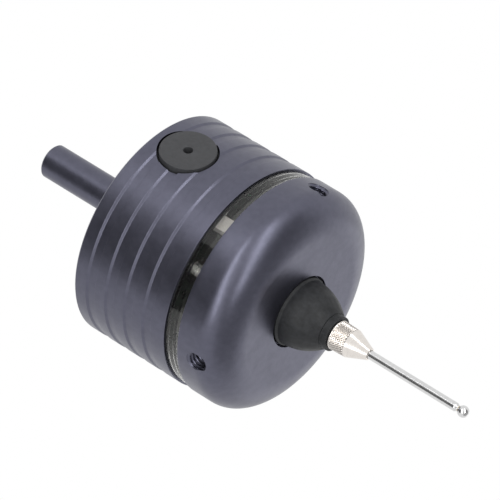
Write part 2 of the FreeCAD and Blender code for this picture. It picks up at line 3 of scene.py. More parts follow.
import bpy
from bpy.props import FloatProperty, FloatVectorProperty, IntProperty, PointerProperty
from mathutils import Matrix, Vector


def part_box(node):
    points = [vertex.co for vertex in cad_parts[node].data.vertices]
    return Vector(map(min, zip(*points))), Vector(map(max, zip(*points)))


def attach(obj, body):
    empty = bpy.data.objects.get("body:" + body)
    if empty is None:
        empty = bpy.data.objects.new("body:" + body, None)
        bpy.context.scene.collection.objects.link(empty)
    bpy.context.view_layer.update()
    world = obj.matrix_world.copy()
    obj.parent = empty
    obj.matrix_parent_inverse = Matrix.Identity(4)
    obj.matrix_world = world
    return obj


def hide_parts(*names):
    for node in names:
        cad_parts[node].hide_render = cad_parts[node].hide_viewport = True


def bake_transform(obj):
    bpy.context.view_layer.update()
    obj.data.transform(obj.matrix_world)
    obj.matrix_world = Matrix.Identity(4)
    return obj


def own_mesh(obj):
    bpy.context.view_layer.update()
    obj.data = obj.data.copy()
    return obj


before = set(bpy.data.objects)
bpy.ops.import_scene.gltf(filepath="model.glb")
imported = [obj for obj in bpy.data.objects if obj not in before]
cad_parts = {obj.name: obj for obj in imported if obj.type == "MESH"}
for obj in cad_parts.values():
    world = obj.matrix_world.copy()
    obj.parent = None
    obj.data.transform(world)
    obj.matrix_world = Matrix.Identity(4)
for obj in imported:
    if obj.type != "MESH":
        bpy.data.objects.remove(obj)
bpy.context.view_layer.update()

bl_info = {
    "name": "Touch Edge Finder",
    "version": (1, 0, 0),
    "blender": (4, 5, 0),
    "location": "View3D > Sidebar > Edge Finder",
    "description": "Dresses the packed frame of a battery-powered touch edge finder",
    "category": "Object",
}

MM = 0.001
FULL_TURN = 2 * math.pi
AXIS_POINT = 1e-7         # a radius below this lies on the axis
SHARP_EDGE = math.radians(32)
KNURL_CELLS = 8           # mesh cells across one diamond of the knurl
CLOSE_GAP = 0.02 * MM     # between pieces that locate each other
RUNNING_GAP = 0.05 * MM   # between pieces that slide in each other
STACK_GAP = 0.1 * MM      # axial play of a trapped piece
SPRING_WIRE = 0.44 * MM

# Levels and radii that the frame sets
SHANK_LOW, SHANK_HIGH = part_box("shank")
HOUSING_LOW, HOUSING_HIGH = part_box("housing")
RING_LOW, RING_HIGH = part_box("light_ring")
CAP_LOW, CAP_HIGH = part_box("cap")
GASKET_LOW, GASKET_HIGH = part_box("ring_gasket")
SEAT_LOW, SEAT_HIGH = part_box("seat_ring")
BOOT_LOW, BOOT_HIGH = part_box("boot")
COLLAR_LOW, COLLAR_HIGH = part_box("knurled_collar")
ROD_LOW, ROD_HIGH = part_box("stylus_rod")
BALL_LOW, BALL_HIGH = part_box("tip_ball")
BUZZER_LOW, BUZZER_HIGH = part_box("buzzer")
SLEEVE_LOW, SLEEVE_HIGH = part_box("buzzer_sleeve")
STUD_LOW, STUD_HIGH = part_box("tie_studs")


# Meshes

def point_on(radius, angle, height):
    """A point by its radius, its angle about the axis and its height."""
    return (radius * math.cos(angle), radius * math.sin(angle), height)


def eased(corners, radius, steps=3):
    """A closed section with a small curve at each sharp corner that lies off the axis."""
    section = []
    for n, corner in enumerate(corners):
        here = Vector(corner)
        back = Vector(corners[n - 1]) - here
        ahead = Vector(corners[(n + 1) % len(corners)]) - here
        if here.x < AXIS_POINT or math.pi - back.angle(ahead) < SHARP_EDGE:
            section.append(tuple(here))
            continue
        start = here + back.normalized() * min(radius, 0.4 * back.length)
        end = here + ahead.normalized() * min(radius, 0.4 * ahead.length)
        for step in range(steps + 1):
            t = step / steps
            section.append(tuple(start * (1 - t) ** 2 + here * 2 * t * (1 - t) + end * t * t))
    return section


def new_piece(name, points, faces, crease=SHARP_EDGE):
    """An object from points and faces, smooth but for its sharp edges."""
    mesh = bpy.data.meshes.new(name)
    mesh.from_pydata(points, [], faces)
    mesh.polygons.foreach_set("use_smooth", [True] * len(mesh.polygons))
    mesh.set_sharp_from_angle(angle=crease)
    piece = bpy.data.objects.new(name, mesh)
    bpy.context.scene.collection.objects.link(piece)
    return piece


def hollow_first(corners, points):
    """A four-sided face as two triangles that meet along its deeper diagonal."""
    depth = [math.hypot(*points[n][:2]) for n in corners]
    if depth[0] + depth[2] <= depth[1] + depth[3]:
        return [corners[:3], (corners[2], corners[3], corners[0])]
    return [corners[1:], (corners[3], corners[0], corners[1])]


def skinned(name, rings, crease=SHARP_EDGE, split=False):
    """A closed surface over rings of points, the last ring next to the first."""
    steps = max(len(ring) for ring in rings)
    points, rows, faces = [], [], []
    for ring in rings:
        single = len(ring) == 1
        rows.append([len(points) + (0 if single else n) for n in range(steps)])
        points += ring
    for upper, lower in zip(rows, [*rows[1:], rows[0]]):
        for n in range(steps):
            after = (n + 1) % steps
            corners = tuple(dict.fromkeys((upper[n], lower[n], lower[after], upper[after])))
            if split and len(corners) == 4:
                faces += hollow_first(corners, points)
            elif len(corners) > 2:
                faces.append(corners)
    return new_piece(name, points, faces, crease)


def ring_at(radius, height, steps):
    """One ring of points, or the single point that a ring on the axis shrinks to."""
    if radius < AXIS_POINT:
        return [(0, 0, height)]
    return [point_on(radius, FULL_TURN * n / steps, height) for n in range(steps)]


def revolved(name, section, steps=256):
    """A solid turned about the spindle axis from a closed section of (radius, height)."""
    return skinned(name, [ring_at(radius, height, steps) for radius, height in section])


def round_bar(name, radius_at, low, high, rows, columns):
    """An upright round bar whose radius depends on the angle and the height."""
    rings = [[(0, 0, high)]]
    for row in range(rows + 1):
        height = high + (low - high) * row / rows
        turns = [FULL_TURN * column / columns for column in range(columns)]
        rings.append([point_on(radius_at(turn, height), turn, height) for turn in turns])
    return skinned(name, [*rings, [(0, 0, low)]])


def pin(name, radius, low, high, steps=48):
    """A plain upright bar, for cutting holes."""
    return round_bar(name, lambda turn, height: radius, low, high, 1, steps)


def weighted(piece):
    """Lets the large faces of a piece set its shading, so that flats look flat."""
    modifier = piece.modifiers.new("Flats", "WEIGHTED_NORMAL")
    modifier.keep_sharp = True
    return piece


def applied(piece):
    """Turns what the modifiers make of a piece into its own mesh."""
    bpy.context.view_layer.update()
    shown = piece.evaluated_get(bpy.context.evaluated_depsgraph_get())
    made = bpy.data.meshes.new_from_object(shown)
    piece.modifiers.clear()
    piece.data = made
    made.name = piece.name
    return piece


def cut(piece, cutters):
    """Takes the cutters out of a piece and removes them."""
    cutter = joined("cutter", cutters)
    modifier = piece.modifiers.new("Cut", "BOOLEAN")
    modifier.operation = "DIFFERENCE"
    modifier.solver = "EXACT"
    modifier.object = cutter
    applied(piece)
    bpy.data.objects.remove(cutter)
    piece.data.set_sharp_from_angle(angle=SHARP_EDGE)
    return piece


def joined(name, pieces):
    """One object that holds the meshes of several."""
    points, faces = [], []
    for piece in pieces:
        first = len(points)
        points += [tuple(vertex.co) for vertex in piece.data.vertices]
        faces += [[first + n for n in polygon.vertices] for polygon in piece.data.polygons]
        bpy.data.objects.remove(piece)
    return new_piece(name, points, faces)


def placed(piece, *matrices):
    """Moves the mesh of a piece by each matrix in turn, with the object left at the origin."""
    for matrix in matrices:
        piece.data.transform(matrix)
    return piece


def turn(axis, angle):
    """A turn about an axis of the frame, in degrees."""
    return Matrix.Rotation(math.radians(angle), 4, axis)


def shift(x=0.0, y=0.0, z=0.0):
    """A move along the axes of the frame."""
    return Matrix.Translation((x, y, z))


def around(maker, count, first_angle, *matrices):
    """Like pieces spaced evenly round the spindle axis."""
    turns = [first_angle + 360 * n / count for n in range(count)]
    return [placed(maker(), *matrices, turn("Z", angle)) for angle in turns]


def facing_buzzer(piece):
    """Lays a piece's own +Z axis along -Y, at the height of the buzzer."""
    return placed(piece, turn("X", 90), shift(z=(BUZZER_LOW.z + BUZZER_HIGH.z) / 2))


def settled(piece, body, maker, slot, *nodes):
    """Gives a piece its finish and its body, and hides the nodes that it stands for."""
    piece.data.materials.clear()
    piece.data.materials.append(finish(maker))
    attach(piece, body)
    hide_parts(*nodes)
    return piece


# Sizes and colours

def length(name, description, default):
    """A size that the panel shows in the scene's own unit of length."""
    return FloatProperty(
        name=name, description=description, default=default, min=0.0, precision=5, unit="LENGTH"
    )


def angle(name, description, default):
    """An angle in degrees."""
    return FloatProperty(name=name, description=description, default=default)


def colour(name, description, default):
    """A linear colour."""
    return FloatVectorProperty(
        name=name, description=description, default=default, subtype="COLOR", min=0.0, max=1.0
    )


class BodySizes(bpy.types.PropertyGroup):
    """Sizes of the shank, the housing and the buzzer in its side."""

    shank_radius: length("Shank", "Radius of the shank", 3.0 * MM)
    shank_chamfer: length("Shank chamfer", "Chamfer at the end of the shank", 0.3 * MM)
    centre_hole: length("Centre hole", "Radius of the centre hole in the shank's end", 0.7 * MM)
    shank_collar: length("Shank collar", "Radius of the shank's locating collar", 3.2 * MM)
    flange: length("Flange", "Radius of the shank's flange", 8.0 * MM)
    screw_circle: length("Screw circle", "Radius of the flange screws' circle", 5.6 * MM)
    screw_head: length("Screw head", "Radius of a flange screw's countersink", 2.22 * MM)
    screw_hole: length("Screw hole", "Radius of a flange screw's hole", 1.27 * MM)
    wall: length("Wall", "Thickness of the housing's side wall", 2.5 * MM)
    roof: length("Roof", "Thickness of the housing's closed end", 3.0 * MM)
    groove_count: IntProperty(name="Grooves", description="Number of grip grooves", default=4)
    groove_start: length("First groove", "Distance of the first groove from the top", 2.6 * MM)
    groove_pitch: length("Groove pitch", "Distance from groove to groove", 4.05 * MM)
    groove_width: length("Groove width", "Width of a groove at the surface", 1.95 * MM)
    groove_depth: length("Groove depth", "Depth of a groove", 0.25 * MM)
    groove_lead: length("Groove lead", "Height of a groove's sloped upper wall", 0.375 * MM)
    rim_chamfer: length("Rim chamfer", "Chamfer round the housing's closed end", 0.3 * MM)
    edge_ease: length("Edge ease", "Size of the softened edges", 0.06 * MM)
    sound_hole: length("Sound hole", "Radius of the buzzer's hole", 0.8 * MM)
    sound_depth: length("Sound hole depth", "Depth of the buzzer's hole", 2.0 * MM)
    buzzer_edge: length("Buzzer edge", "Softened edge of the buzzer's face", 0.15 * MM)


class CapSizes(bpy.types.PropertyGroup):
    """Sizes of the cap, its threaded holes, the clear ring and the tie studs."""

    ring_bore: length("Ring bore", "Radius inside the clear ring", 17.0 * MM)
    ring_spigot: length("Ring spigot", "Radius of the clear ring's spigots", 18.0 * MM)
    gasket_bore: length("Gasket bore", "Radius inside the gasket", 18.2 * MM)
    corner_width: length("Corner width", "Radial reach of the rounded corner", 6.7 * MM)
    corner_height: length("Corner height", "Axial reach of the rounded corner", 5.0 * MM)
    rim_ease: length("Rim ease", "Softened edge at the clear ring", 0.12 * MM)
    floor: length("Floor", "Thickness of the cap's floor", 2.0 * MM)
    cavity: length("Cavity", "Radius of the cavity", 10.6 * MM)
    stem_hole: length("Stem hole", "Radius of the hole for the stem", 3.4 * MM)
    seat_radius: length("Boot seat", "Radius of the boot's recess", 6.5 * MM)
    seat_depth: length("Boot seat depth", "Depth of the boot's recess", 1.1 * MM)
    hole_angle: angle("Hole angle", "Angle of the first threaded hole", -61.7)
    hole_drop: length("Hole drop", "Distance of the holes below the rim", 4.0 * MM)
    hole_crest: length("Thread crest", "Radius at the thread's crests", 1.5 * MM)
    hole_root: length("Thread root", "Radius at the thread's roots", 1.9 * MM)
    hole_pitch: length("Thread pitch", "Distance from thread to thread", 0.7 * MM)
    hole_start: length("Thread start", "Radius where the screws end", 15.7 * MM)
    stud_angle: angle("Stud angle", "Angle of the first tie stud", -140.5)
    stud_circle: length("Stud circle", "Radius of the tie studs' circle", 14.6 * MM)
    stud_radius: length("Stud", "Radius of a tie stud", 1.0 * MM)
    stud_pitch: length("Stud pitch", "Thread pitch of the tie studs", 0.4 * MM)
    stud_thread: length("Stud thread", "Depth of the studs' thread", 0.14 * MM)
    guide_angle: angle("Guide angle", "Angle of the first guide screw", -1.7)
    guide_circle: length("Guide circle", "Radius of the guide screws' circle", 11.9 * MM)
    guide_radius: length("Guide screw", "Radius of a guide screw's hole", 0.82 * MM)


class BootSizes(bpy.types.PropertyGroup):
    """Sizes of the rubber bell."""

    edge: length("Edge", "Softened edge at the foot of the bell", 0.3 * MM)
    crown_radius: length("Crown radius", "Radius of the bell at its crown", 5.2 * MM)
    crown_drop: length("Crown drop", "Distance of the crown from the cap", 3.7 * MM)
    shoulder_radius: length("Shoulder radius", "Radius at the foot of the bell", 3.35 * MM)
    drop: length("Drop", "Height of the bell", 6.7 * MM)
    neck_radius: length("Neck radius", "Radius of the neck bead", 3.1 * MM)
    neck_bore: length("Neck bore", "Radius inside the neck", 2.25 * MM)
    wall: length("Wall", "Thickness of the rubber", 0.8 * MM)
    flange_bore: length("Flange bore", "Radius inside the flange", 4.2 * MM)
    lift_zone: length("Lift zone", "Where the rubber stops taking up the lift", 2.4 * MM)
    tilt_zone: length("Tilt zone", "Where it stops taking up the first tilt", 3.9 * MM)
    still_zone: length("Still zone", "Below this it moves with the stem", 5.5 * MM)


class ChuckSizes(bpy.types.PropertyGroup):
    """Sizes of the knurled nut and of the stylus in it."""

    top_radius: length("Top radius", "Radius at the top of the grip", 2.6 * MM)
    foot_radius: length("Foot radius", "Radius at the foot of the grip", 2.5 * MM)
    grip: length("Grip", "Length of the knurled grip", 3.1 * MM)
    nose_radius: length("Nose radius", "Radius at the tip of the cone", 1.0 * MM)
    nose_land: length("Nose land", "Length of the rod's hole in the nose", 1.2 * MM)
    spigot_drop: length("Spigot drop", "Depth of the nut's bore", 3.0 * MM)
    bore: length("Bore", "Radius of the bore", 1.55 * MM)
    seat_top: length("Seat top", "Radius of the collet's seat at its top", 1.5 * MM)
    seat_foot: length("Seat foot", "Radius of the collet's seat at its foot", 1.0 * MM)
    rod_hole: length("Rod hole", "Radius of the hole in the nose", 0.8 * MM)
    chamfer: length("Chamfer", "Chamfer at the top of the grip", 0.12 * MM)
    knurls: IntProperty(name="Knurls", description="Diamonds round the grip", default=34)
    knurl_rows: length("Knurl rows", "Height of one row of diamonds", 0.5 * MM)
    knurl_depth: length("Knurl depth", "Depth between the diamonds", 0.16 * MM)
    rod_radius: length("Rod", "Radius of the stylus rod", 0.75 * MM)
    neck_radius: length("Neck radius", "Radius of the rod at the ball", 0.45 * MM)
    neck_length: length("Neck length", "Length of the tapered neck", 0.7 * MM)
    ball_radius: length("Ball", "Radius of the measuring ball", 1.0 * MM)


class FinishColours(bpy.types.PropertyGroup):
    """Colours of the finishes."""

    anodised: colour("Anodised", "Blue-grey of the anodised aluminium", (0.112, 0.113, 0.15))
    nickel: colour("Nickel", "Warm plated metal of the nut", (0.74, 0.7, 0.66))
    steel: colour("Steel", "Ground steel of the stylus", (0.66, 0.66, 0.66))
    black_steel: colour("Black steel", "Oxide on the centring screws", (0.04, 0.04, 0.045))
    brass: colour("Brass", "Turned brass", (0.74, 0.58, 0.3))
    rubber: colour("Rubber", "Black rubber of the boot", (0.016, 0.017, 0.019))
    plastic: colour("Plastic", "Black moulded plastic", (0.02, 0.02, 0.022))
    buzzer: colour("Buzzer", "Face of the buzzer", (0.05, 0.051, 0.055))
    clear: colour("Clear plastic", "Tint of the clear ring", (0.95, 0.95, 0.92))
    lamp: colour("Lamp", "Milky case of the lamps", (0.72, 0.69, 0.68))
    board: colour("Board", "Lacquer of the board", (0.012, 0.03, 0.018))
    lead: colour("Lead", "Sheath of the leads", (0.35, 0.03, 0.03))
    floor: colour("Floor", "The pale floor", (0.86, 0.86, 0.86))
    dark_card: colour("Dark card", "Card that the left side mirrors", (0.2, 0.2, 0.2))
    grey_card: colour("Grey card", "Card that the right side mirrors", (0.4, 0.4, 0.4))


class StudioSizes(bpy.types.PropertyGroup):
    """Camera and lamps."""

    azimuth: angle("Azimuth", "Direction of the camera about the spindle axis", -130.21)
    elevation: angle("Elevation", "Height of the camera above the horizon", -28.2)
    roll: angle("Roll", "Turn of the picture about the line of sight", -58.74)
    distance: length("Distance", "From the aim point to the camera", 0.82)
    lens: FloatProperty(name="Lens", description="Focal length in millimetres", default=360.0)
    aim: FloatVectorProperty(
        name="Aim",
        description="The point in the middle of the picture",
        default=(0.0055, -0.00024, -0.01577),
        subtype="XYZ",
        unit="LENGTH",
    )
    strip_light: FloatProperty(name="Strip light", description="Watts of a side lamp", default=3.1)
    face_light: FloatProperty(name="Face light", description="Watts on the cap's face", default=0.8)
    room_light: FloatProperty(name="Room light", description="Soft light from all round", default=0.5)
    floor_level: FloatProperty(name="Floor level", description="Height of the floor", default=-1.5)


# Finishes

def new_finish(name, base, **plain):
    """A material whose plain values sit on the shader's own sockets."""
    finish = bpy.data.materials.new(name)
    finish.use_nodes = True
    shader = finish.node_tree.nodes["Principled BSDF"]
    shader.inputs["Base Color"].default_value = (*base, 1.0)
    for socket, value in plain.items():
        shader.inputs[socket.replace("_", " ").title().replace("Ior", "IOR")].default_value = value
    return finish


def surface_noise(tree, scale, stretch=(1.0, 1.0, 1.0), detail=3.0):
    """Noise fixed to the piece itself, in features per metre."""
    place = tree.nodes.new("ShaderNodeTexCoord")
    shape = tree.nodes.new("ShaderNodeMapping")
    shape.inputs["Scale"].default_value = stretch
    noise = tree.nodes.new("ShaderNodeTexNoise")
    noise.inputs["Scale"].default_value = scale
    noise.inputs["Detail"].default_value = detail
    tree.links.new(place.outputs["Object"], shape.inputs["Vector"])
    tree.links.new(shape.outputs["Vector"], noise.inputs["Vector"])
    return noise.outputs["Fac"]


def shaded(finish, spread, scale, stretch=(1.0, 1.0, 1.0)):
    """Lets the colour drift a little round its own value."""
    tree = finish.node_tree
    shader = tree.nodes["Principled BSDF"]
    base = shader.inputs["Base Color"].default_value[:3]
    ramp = tree.nodes.new("ShaderNodeValToRGB")
    ends = ramp.color_ramp.elements
    ends[0].position, ends[1].position = 0.3, 0.7
    ends[0].color = (*(max(0.0, part * (1 - spread)) for part in base), 1.0)
    ends[1].color = (*(min(1.0, part * (1 + spread)) for part in base), 1.0)
    tree.links.new(surface_noise(tree, scale, stretch), ramp.inputs["Fac"])
    tree.links.new(ramp.outputs["Color"], shader.inputs["Base Color"])
    return finish


def worn(finish, low, high, scale, stretch=(1.0, 1.0, 1.0)):
    """Lets the roughness drift between two values."""
    tree = finish.node_tree
    span = tree.nodes.new("ShaderNodeMapRange")
    span.inputs["From Min"].default_value = 0.3
    span.inputs["From Max"].default_value = 0.7
    span.inputs["To Min"].default_value = low
    span.inputs["To Max"].default_value = high
    tree.links.new(surface_noise(tree, scale, stretch), span.inputs["Value"])
    tree.links.new(span.outputs["Result"], tree.nodes["Principled BSDF"].inputs["Roughness"])
    return finish


def grained(finish, scale, depth, stretch=(1.0, 1.0, 1.0)):
    """Gives the surface a fine relief of a given depth in metres."""
    tree = finish.node_tree
    relief = tree.nodes.new("ShaderNodeBump")
    relief.inputs["Strength"].default_value = 1.0
    relief.inputs["Distance"].default_value = depth
    tree.links.new(surface_noise(tree, scale, stretch), relief.inputs["Height"])
    tree.links.new(relief.outputs["Normal"], tree.nodes["Principled BSDF"].inputs["Normal"])
    return finish


def anodised(colours):
    """Satin bead-blasted aluminium, dyed blue-grey."""
    finish = new_finish("anodised_aluminium", colours.anodised, metallic=1.0)
    shaded(finish, 0.06, 900.0)
    worn(finish, 0.33, 0.38, 400.0)
    return grained(finish, 4500.0, 0.011 * MM)


def plated(colours):
    """Bright warm plating with faint turning marks."""
    finish = new_finish("nickel_plate", colours.nickel, metallic=1.0)
    shaded(finish, 0.05, 700.0, (1.0, 1.0, 6.0))
    worn(finish, 0.16, 0.26, 500.0)
    return grained(finish, 900.0, 0.004 * MM, (0.2, 0.2, 9.0))


def ground_steel(colours):
    """Ground steel with fine marks round it."""
    finish = new_finish("ground_steel", colours.steel, metallic=1.0)
    shaded(finish, 0.05, 800.0, (1.0, 1.0, 5.0))
    worn(finish, 0.12, 0.22, 700.0, (1.0, 1.0, 8.0))
    return grained(finish, 1200.0, 0.002 * MM, (0.2, 0.2, 10.0))


def blackened_steel(colours):
    """Oxide-black steel."""
    finish = new_finish("black_oxide_steel", colours.black_steel, metallic=1.0)
    shaded(finish, 0.2, 1500.0)
    return worn(finish, 0.3, 0.45, 1200.0)


def turned_brass(colours):
    """Turned brass."""
    finish = new_finish("turned_brass", colours.brass, metallic=1.0)
    shaded(finish, 0.08, 700.0)
    return worn(finish, 0.22, 0.34, 900.0, (1.0, 1.0, 6.0))


def black_rubber(colours):
    """Matt moulded rubber with a faint bloom."""
    finish = new_finish("black_rubber", colours.rubber, specular_ior_level=0.35)
    shaded(finish, 0.35, 1300.0)
    worn(finish, 0.48, 0.62, 600.0)
    return grained(finish, 3500.0, 0.006 * MM)


def black_plastic(colours):
    """Moulded black plastic."""
    finish = new_finish("black_plastic", colours.plastic)
    shaded(finish, 0.2, 900.0)
    worn(finish, 0.42, 0.55, 700.0)
    return grained(finish, 3000.0, 0.005 * MM)


def turned_plastic(colours):
    """Turned black plastic with tool marks round it."""
    finish = new_finish("turned_plastic", colours.plastic)
    shaded(finish, 0.2, 500.0, (1.0, 1.0, 5.0))
    worn(finish, 0.35, 0.48, 700.0)
    return grained(finish, 900.0, 0.004 * MM, (0.2, 0.2, 8.0))


def buzzer_plastic(colours):
    """Fine-grained dark plastic."""
    finish = new_finish("buzzer_plastic", colours.buzzer, specular_ior_level=0.4)
    shaded(finish, 0.1, 1500.0)
    worn(finish, 0.5, 0.6, 900.0)
    return grained(finish, 5000.0, 0.006 * MM)


def clear_plastic(colours):
    """Clear turned plastic."""
    finish = new_finish("clear_plastic", colours.clear, transmission_weight=1.0, ior=1.49)
    shaded(finish, 0.03, 300.0)
    worn(finish, 0.03, 0.09, 500.0)
    return grained(finish, 700.0, 0.002 * MM, (0.3, 0.3, 6.0))


def milky_plastic(colours):
    """Milky lamp case."""
    finish = new_finish("milky_plastic", colours.lamp, specular_ior_level=0.5)
    shaded(finish, 0.05, 1500.0)
    return worn(finish, 0.25, 0.35, 900.0)


def board_lacquer(colours):
    """Dark green lacquer on the board."""
    finish = new_finish("board_lacquer", colours.board)
    shaded(finish, 0.3, 1200.0)
    return worn(finish, 0.25, 0.4, 800.0)


def lead_sheath(colours):
    """Smooth sheath of the leads."""
    finish = new_finish("lead_sheath", colours.lead)
    shaded(finish, 0.1, 900.0)
    return worn(finish, 0.35, 0.45, 900.0)


def dark_card(colours):
    """Dark card for the studio."""
    finish = new_finish("dark_card", colours.dark_card)
    shaded(finish, 0.02, 5.0)
    return worn(finish, 0.8, 0.9, 5.0)


def grey_card(colours):
    """Grey card for the studio."""
    finish = new_finish("grey_card", colours.grey_card)
    shaded(finish, 0.02, 5.0)
    return worn(finish, 0.8, 0.9, 5.0)


def pale_floor(colours):
    """Plain pale studio floor."""
    finish = new_finish("pale_floor", colours.floor)
    shaded(finish, 0.01, 3.0)
    return worn(finish, 0.75, 0.85, 5.0)


FINISHES = {}


def finish(maker):
    """The finish that a maker gives, made once."""
    if maker not in FINISHES:
        FINISHES[maker] = maker(bpy.context.scene.edge_finder_colours)
    return FINISHES[maker]


def dressed(maker, *nodes):
    """Gives nodes of the frame their finish."""
    for node in nodes:
        for material_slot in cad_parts[node].material_slots:
            material_slot.material = finish(maker)


def softened(width, *nodes):
    """Gives nodes of the frame small bright edges."""
    for node in nodes:
        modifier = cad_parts[node].modifiers.new("Soft edges", "BEVEL")
        modifier.width = width
        modifier.segments = 2
        modifier.limit_method = "ANGLE"
        modifier.angle_limit = math.radians(50)
        modifier.harden_normals = True


# Shank and housing

def countersinks(sizes):
    """Cutters for the screws that hold the shank's flange under the roof."""
    foot = HOUSING_HIGH.z - sizes.roof - 2 * MM
    section = [
        (0, foot + 4 * MM),
        (sizes.screw_hole, foot + 4 * MM),
        (sizes.screw_hole, foot + sizes.screw_head - sizes.screw_hole),
        (sizes.screw_head, foot),
        (sizes.screw_head, foot - MM),
        (0, foot - MM),
    ]
    return around(lambda: revolved("screw_hole", section, 48), 3, 30, shift(x=sizes.screw_circle))


def build_shank(sizes):
    """The turned shank with its locating collar and flange."""
    top, hole = SHANK_HIGH.z, sizes.centre_hole
    roof_inside = HOUSING_HIGH.z - sizes.roof
    section = [
        (0, top - 2.2 * hole),
        (0.4 * hole, top - 2 * hole),
        (0.4 * hole, top - hole),
        (hole, top),
        (sizes.shank_radius - sizes.shank_chamfer, top),
        (sizes.shank_radius, top - sizes.shank_chamfer),
        (sizes.shank_radius, HOUSING_HIGH.z),
        (sizes.shank_collar, HOUSING_HIGH.z),
        (sizes.shank_collar, roof_inside),
        (sizes.flange, roof_inside),
        (sizes.flange, roof_inside - 2 * MM),
        (0, roof_inside - 2 * MM),
    ]
    shank = revolved("turned_shank", eased(section, sizes.edge_ease), 160)
    return weighted(cut(shank, countersinks(sizes)))


def groove(top, sizes, radius):
    """Section of one grip groove: sloped upper wall, flat floor, square lower wall."""
    floor = radius - sizes.groove_depth
    foot = top - sizes.groove_width
    return [(radius, top), (floor, top - sizes.groove_lead), (floor, foot), (radius, foot)]


def build_housing(sizes, cap_sizes):
    """The grooved cup with the buzzer's round hole in its side."""
    radius, top, foot = HOUSING_HIGH.x, HOUSING_HIGH.z, HOUSING_LOW.z
    register = cap_sizes.ring_spigot + RUNNING_GAP
    step = RING_HIGH.z + STACK_GAP
    inner = radius - sizes.wall
    collar_hole = sizes.shank_collar + CLOSE_GAP
    grooves = []
    for n in range(sizes.groove_count):
        grooves += groove(top - sizes.groove_start - n * sizes.groove_pitch, sizes, radius)
    section = [
        (collar_hole, top),
        (radius - sizes.rim_chamfer, top),
        (radius, top - sizes.rim_chamfer),
        *grooves,
        (radius, foot),
        (register, foot),
        (register, step),
        (inner, step),
        (inner, top - sizes.roof),
        (collar_hole, top - sizes.roof),
    ]
    shell = revolved("housing_shell", eased(section, sizes.edge_ease), 320)
    window = pin("window", SLEEVE_HIGH.x + RUNNING_GAP, -BUZZER_HIGH.y, radius + MM, 96)
    return weighted(cut(shell, [facing_buzzer(window), *countersinks(sizes)]))


# Cap, clear ring and studs

def thread_profile(turns, crest, root):
    """Radius of a thread at a number of turns, between crest and root."""
    wave = abs(2 * (turns % 1.0) - 1)
    return crest + (root - crest) * min(1.0, max(0.0, 1.3 * wave - 0.1))


def threaded_hole(sizes):
    """Cutter for one hole, threaded outside its screw."""
    low, high = SEAT_HIGH.x, CAP_HIGH.x + MM

    def radius_at(angle, height):
        if height < sizes.hole_start:
            return sizes.hole_root
        turns = height / sizes.hole_pitch - angle / FULL_TURN
        return thread_profile(turns, sizes.hole_crest, sizes.hole_root)

    rows = round((high - low) / sizes.hole_pitch * 10)
    return round_bar("threaded_hole", radius_at, low, high, rows, 48)


def cap_cutters(sizes):
    """Cutters for the cap's threaded holes and for its studs and guide screws."""
    level = CAP_HIGH.z - sizes.hole_drop
    ledge = RING_LOW.z - STACK_GAP
    deep, high = ledge - 3 * MM, ledge + MM
    return [
        *around(
            lambda: threaded_hole(sizes), 3, sizes.hole_angle, turn("Y", 90), shift(z=level)
        ),
        *around(
            lambda: pin("stud_hole", sizes.stud_radius + CLOSE_GAP, deep, high),
            3,
            sizes.stud_angle,
            shift(x=sizes.stud_circle),
        ),
        *around(
            lambda: pin("guide_hole", sizes.guide_radius, deep, high),
            3,
            sizes.guide_angle,
            shift(x=sizes.guide_circle),
        ),
    ]


def build_cap(sizes):
    """The thick front cup with its rounded corner and threaded holes."""
    radius, rim, face = CAP_HIGH.x, CAP_HIGH.z, CAP_LOW.z
    register = sizes.ring_spigot + RUNNING_GAP
    ledge = RING_LOW.z - STACK_GAP
    seat = face + sizes.seat_depth
    corner_top = face + sizes.corner_height
    turns = [math.radians(90) * n / 24 for n in range(25)]
    section = [
        (register, rim),
        (radius, rim),
        *[(radius, rim + (corner_top - rim) * n / 6) for n in range(1, 6)],
        *[
            (
                radius - sizes.corner_width * (1 - math.cos(a)),
                face + sizes.corner_height * (1 - math.sin(a)),
            )
            for a in turns
        ],
        (sizes.seat_radius, face),
        (sizes.seat_radius, seat),
        (sizes.stem_hole, seat),
        (sizes.stem_hole, face + sizes.floor),
        (sizes.cavity, face + sizes.floor),
        (sizes.cavity, ledge),
        (register, ledge),
    ]
    shell = revolved("cap_shell", eased(section, sizes.rim_ease), 320)
    return weighted(cut(shell, cap_cutters(sizes)))


def build_clear_ring(sizes, ease):
    """The clear ring with a spigot up and a spigot down."""
    section = [
        (sizes.ring_bore, RING_HIGH.z),
        (sizes.ring_spigot, RING_HIGH.z),
        (sizes.ring_spigot, GASKET_LOW.z),
        (RING_HIGH.x, GASKET_LOW.z),
        (RING_HIGH.x, CAP_HIGH.z),
        (sizes.ring_spigot, CAP_HIGH.z),
        (sizes.ring_spigot, RING_LOW.z),
        (sizes.ring_bore, RING_LOW.z),
    ]
    return weighted(revolved("clear_ring", eased(section, ease), 320))


def build_gasket(sizes, ease):
    """The thin black gasket above the clear ring."""
    top, foot, radius = GASKET_HIGH.z, GASKET_LOW.z, GASKET_HIGH.x
    section = [(sizes.gasket_bore, top), (radius, top), (radius, foot), (sizes.gasket_bore, foot)]
    return revolved("black_gasket", eased(section, ease), 320)


def build_studs(sizes):
    """The three threaded studs that carry the electronics."""
    crest = sizes.stud_radius
    root = crest - sizes.stud_thread

    def radius_at(angle, height):
        return thread_profile(height / sizes.stud_pitch + angle / FULL_TURN, crest, root)

    rows = round((STUD_HIGH.z - STUD_LOW.z) / sizes.stud_pitch * 6)
    studs = around(
        lambda: round_bar("stud", radius_at, STUD_LOW.z, STUD_HIGH.z, rows, 24),
        3,
        sizes.stud_angle,
        shift(x=sizes.stud_circle),
    )
    return joined("threaded_studs", studs)


# Buzzer

